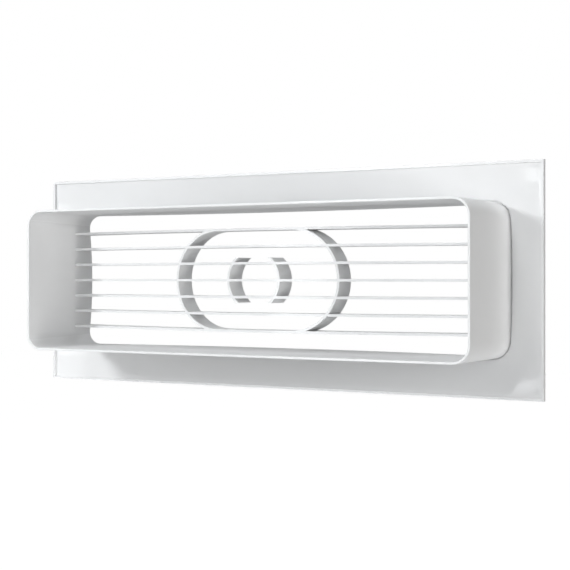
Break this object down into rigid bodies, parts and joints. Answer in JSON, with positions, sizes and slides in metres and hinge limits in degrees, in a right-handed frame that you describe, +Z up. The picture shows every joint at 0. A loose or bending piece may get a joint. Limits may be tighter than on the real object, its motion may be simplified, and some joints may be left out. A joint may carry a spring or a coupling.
{
  "type": "ventilation grille",
  "caption": "Rectangular wall grille for a flat duct: domed cover plate, duct collar, thin arched slats, a stadium ring and short arcs.",
  "frame": {"origin": "centre of the opening in the plane of the rim, where the cover plate meets the wall", "axes": "+X along the width, +Z up, -Y into the duct, +Y towards the room"},
  "size_m": [0.234, 0.0519, 0.09],
  "materials": {
    "white_plastic": "gloss"
  },
  "bodies": {
    "root": {"cover_plate": "white_plastic", "grille_collar": "white_plastic"}
  },
  "joints": []
}
